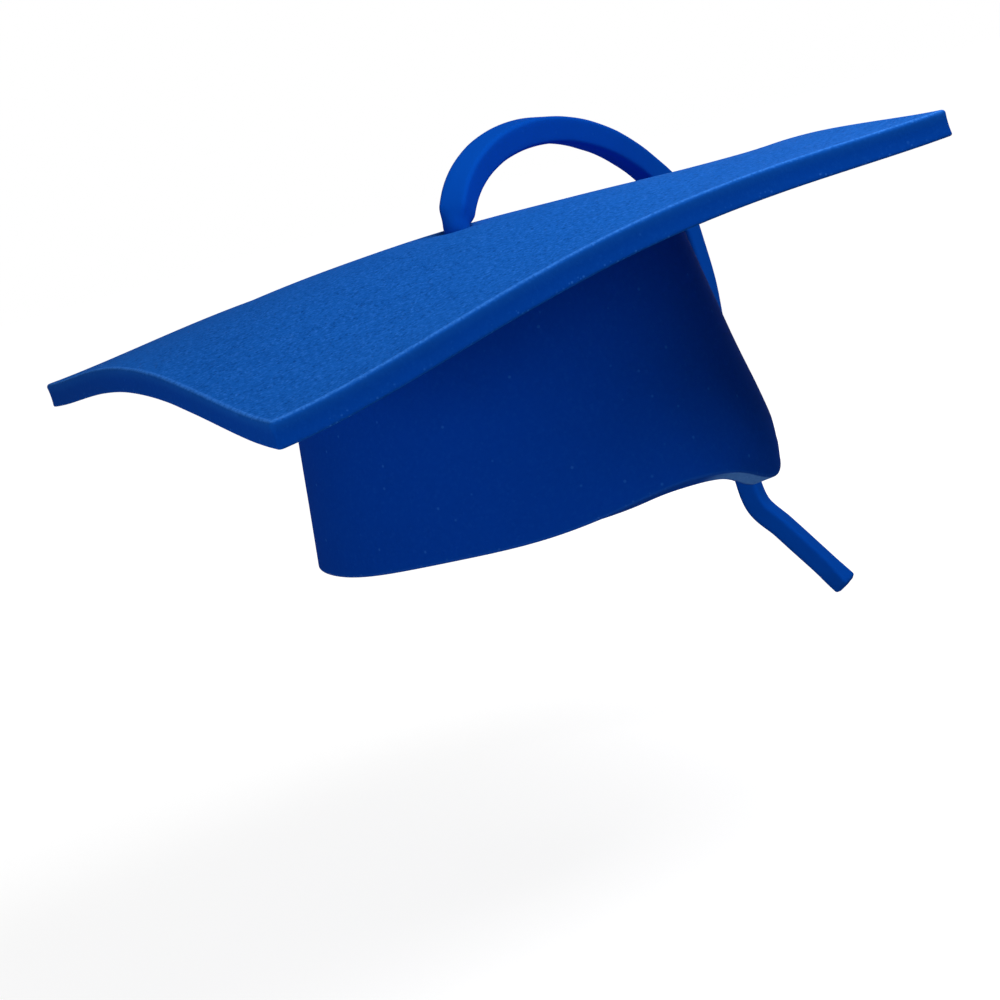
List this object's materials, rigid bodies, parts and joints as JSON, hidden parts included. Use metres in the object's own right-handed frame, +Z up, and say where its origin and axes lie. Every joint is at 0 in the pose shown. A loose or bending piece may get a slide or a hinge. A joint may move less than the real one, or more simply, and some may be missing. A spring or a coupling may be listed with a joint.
{
  "type": "graduation cap",
  "caption": "Soft foam graduation cap: a bent square board on a tapered oval crown band, with an arched foam strip hanging over one edge as its tassel.",
  "frame": {"origin": "centre of the head opening, in the mean plane of the crown's rim", "axes": "+Z up through the board, -Y to the wearer's front, +X to the wearer's left"},
  "size_m": [0.5002, 0.4996, 0.3205],
  "materials": {
    "board_foam": "matte royal-blue cut foam with fine open cells",
    "crown_foam": "matte royal-blue foam, darker where it stands in the board's shade",
    "tassel_foam": "matte royal-blue cut foam strip",
    "anchor_foam": "matte royal-blue cut foam disc"
  },
  "bodies": {
    "cap": {"board": "board_foam", "crown_band": "crown_foam"},
    "tassel": {"tassel_strip": "tassel_foam", "tassel_anchor": "anchor_foam"}
  },
  "joints": [
    {"name": "tassel_swivel", "type": "hinge", "parent": "cap", "child": "tassel", "pos_m": [0, 0.0023, 0.138], "axis": [0, 0, 1], "range_deg": [-45, 0]}
  ]
}
